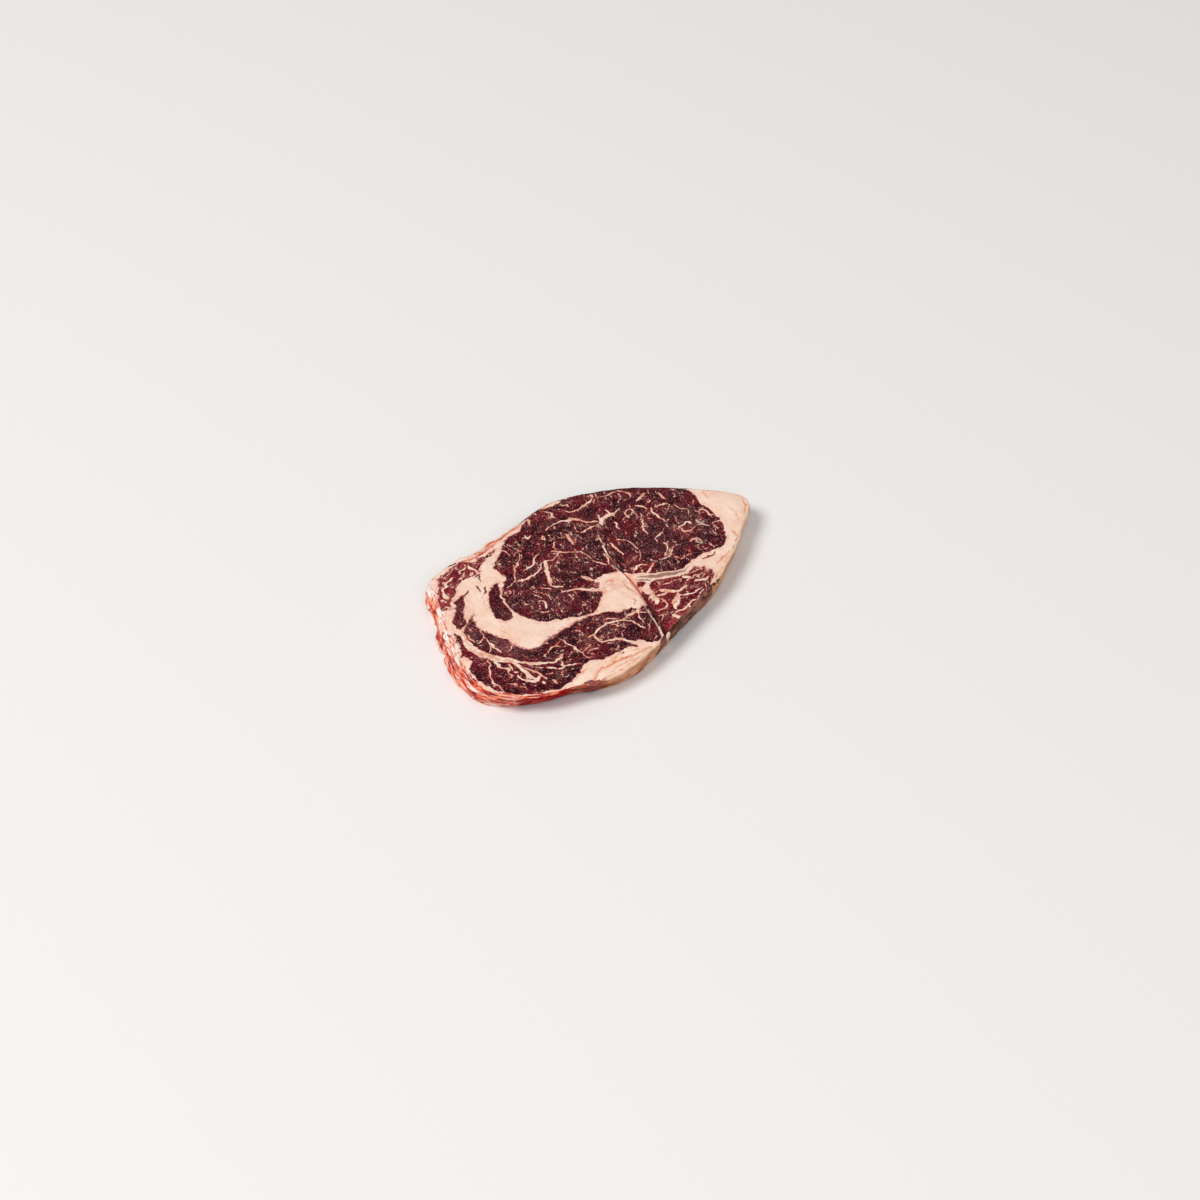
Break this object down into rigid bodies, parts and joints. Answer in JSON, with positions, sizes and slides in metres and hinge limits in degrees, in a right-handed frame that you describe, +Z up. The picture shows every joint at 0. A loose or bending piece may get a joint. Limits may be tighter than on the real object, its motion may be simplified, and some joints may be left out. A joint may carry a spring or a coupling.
{
  "type": "ribeye steak",
  "caption": "Raw boneless ribeye steak: a half-inch slice with a dark round eye muscle, a cap muscle round it, thick fat seams and one pointed fatty end",
  "frame": {"origin": "on the flat lower cut face, under the middle of the bounding box", "axes": "+X the long way of the slice towards its pointed fatty end, +Y towards its straighter long side, +Z up out of the upper cut face"},
  "size_m": [0.1956, 0.1204, 0.0137],
  "materials": {
    "meat": "moist raw beef, dark burgundy lean with cream fat seams and fine marbling"
  },
  "bodies": {
    "root": {"steak": "meat"}
  },
  "joints": []
}
